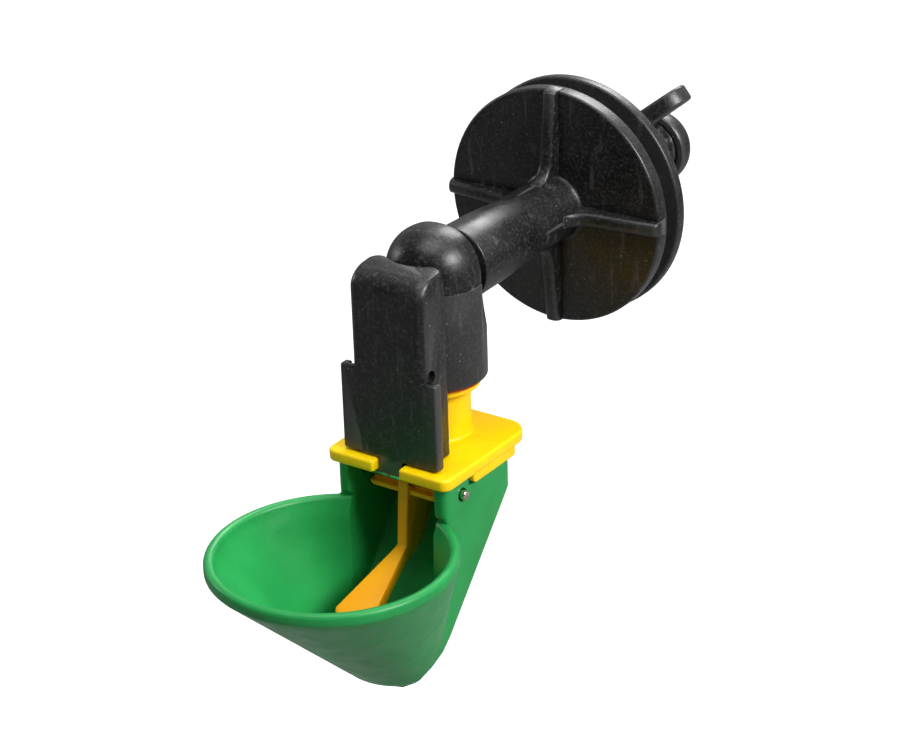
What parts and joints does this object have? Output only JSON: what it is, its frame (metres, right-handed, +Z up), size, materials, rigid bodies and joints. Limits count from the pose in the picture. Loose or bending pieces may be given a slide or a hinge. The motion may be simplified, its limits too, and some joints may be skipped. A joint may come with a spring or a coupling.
{
  "type": "poultry cup drinker",
  "caption": "Lever-operated drinking cup on a bracket that clamps through wire mesh, fed by a hose from behind through an elbow and a spring valve.",
  "frame": {"origin": "middle of the front disc's back face, on the axis of the arm and the threaded tail, where the bracket meets the mesh", "axes": "+Z up, -Y towards the birds along the arm, +X to the right as seen from the birds' side"},
  "size_m": [0.0404, 0.121, 0.0821],
  "materials": {
    "black_plastic": "satin moulded",
    "yellow_plastic": "satin moulded",
    "green_plastic": "satin moulded",
    "orange_plastic": "satin moulded",
    "white_plastic": "moulded",
    "red_rubber": "matt",
    "black_rubber": "matt",
    "bright_steel": "drawn wire"
  },
  "bodies": {
    "bracket": {"bracket_body": "black_plastic", "elbow": "black_plastic", "elbow_seal": "black_rubber", "hose_nut": "black_plastic", "hose_washer": "black_rubber"},
    "clamp": {"clamp_disc": "black_plastic"},
    "nut": {"wing_nut": "black_plastic"},
    "valve": {"valve_body": "yellow_plastic", "collar_seal": "red_rubber", "spigot_seal": "black_rubber", "valve_seat": "white_plastic", "spring_cap": "white_plastic", "strainer": "bright_steel", "valve_spring": "bright_steel", "cup": "green_plastic", "lever_pin": "bright_steel"},
    "lock": {"lock_block": "black_plastic"},
    "lever": {"lever": "orange_plastic"},
    "stem": {"valve_stem": "white_plastic", "valve_seal": "black_rubber"}
  },
  "joints": [
    {"name": "clamp_slide", "type": "slide", "parent": "bracket", "child": "clamp", "axis": [0, 1, 0], "range_m": [-0.0025, 0.009]},
    {"name": "nut_turn", "type": "hinge", "parent": "clamp", "child": "nut", "pos_m": [0, 0.0055, 0], "axis": [0, 1, 0], "range_deg": [-1085, 305]},
    {"name": "valve_swivel", "type": "hinge", "parent": "bracket", "child": "valve", "pos_m": [0, -0.03665, -0.0261], "axis": [0, 0, 1], "range_deg": [-60, 60]},
    {"name": "lock_lift", "type": "slide", "parent": "valve", "child": "lock", "axis": [0, 0, 1], "range_m": [0, 0.006]},
    {"name": "lever_press", "type": "hinge", "parent": "valve", "child": "lever", "pos_m": [0, -0.046, -0.0308], "axis": [1, 0, 0], "range_deg": [0, 9], "stiffness_Nm_per_rad": 0.02, "springref_deg": -5.73},
    {"name": "stem_lift", "type": "slide", "parent": "valve", "child": "stem", "axis": [0, 0, 1], "range_m": [0, 0.0016], "deforming": ["valve_spring"]}
  ],
  "couplings": [
    {"joint": "nut_turn", "follows": "clamp_slide", "rad_per_m": -2094.4},
    {"joint": "stem_lift", "follows": "lever_press", "m_per_rad": 0.00935}
  ]
}
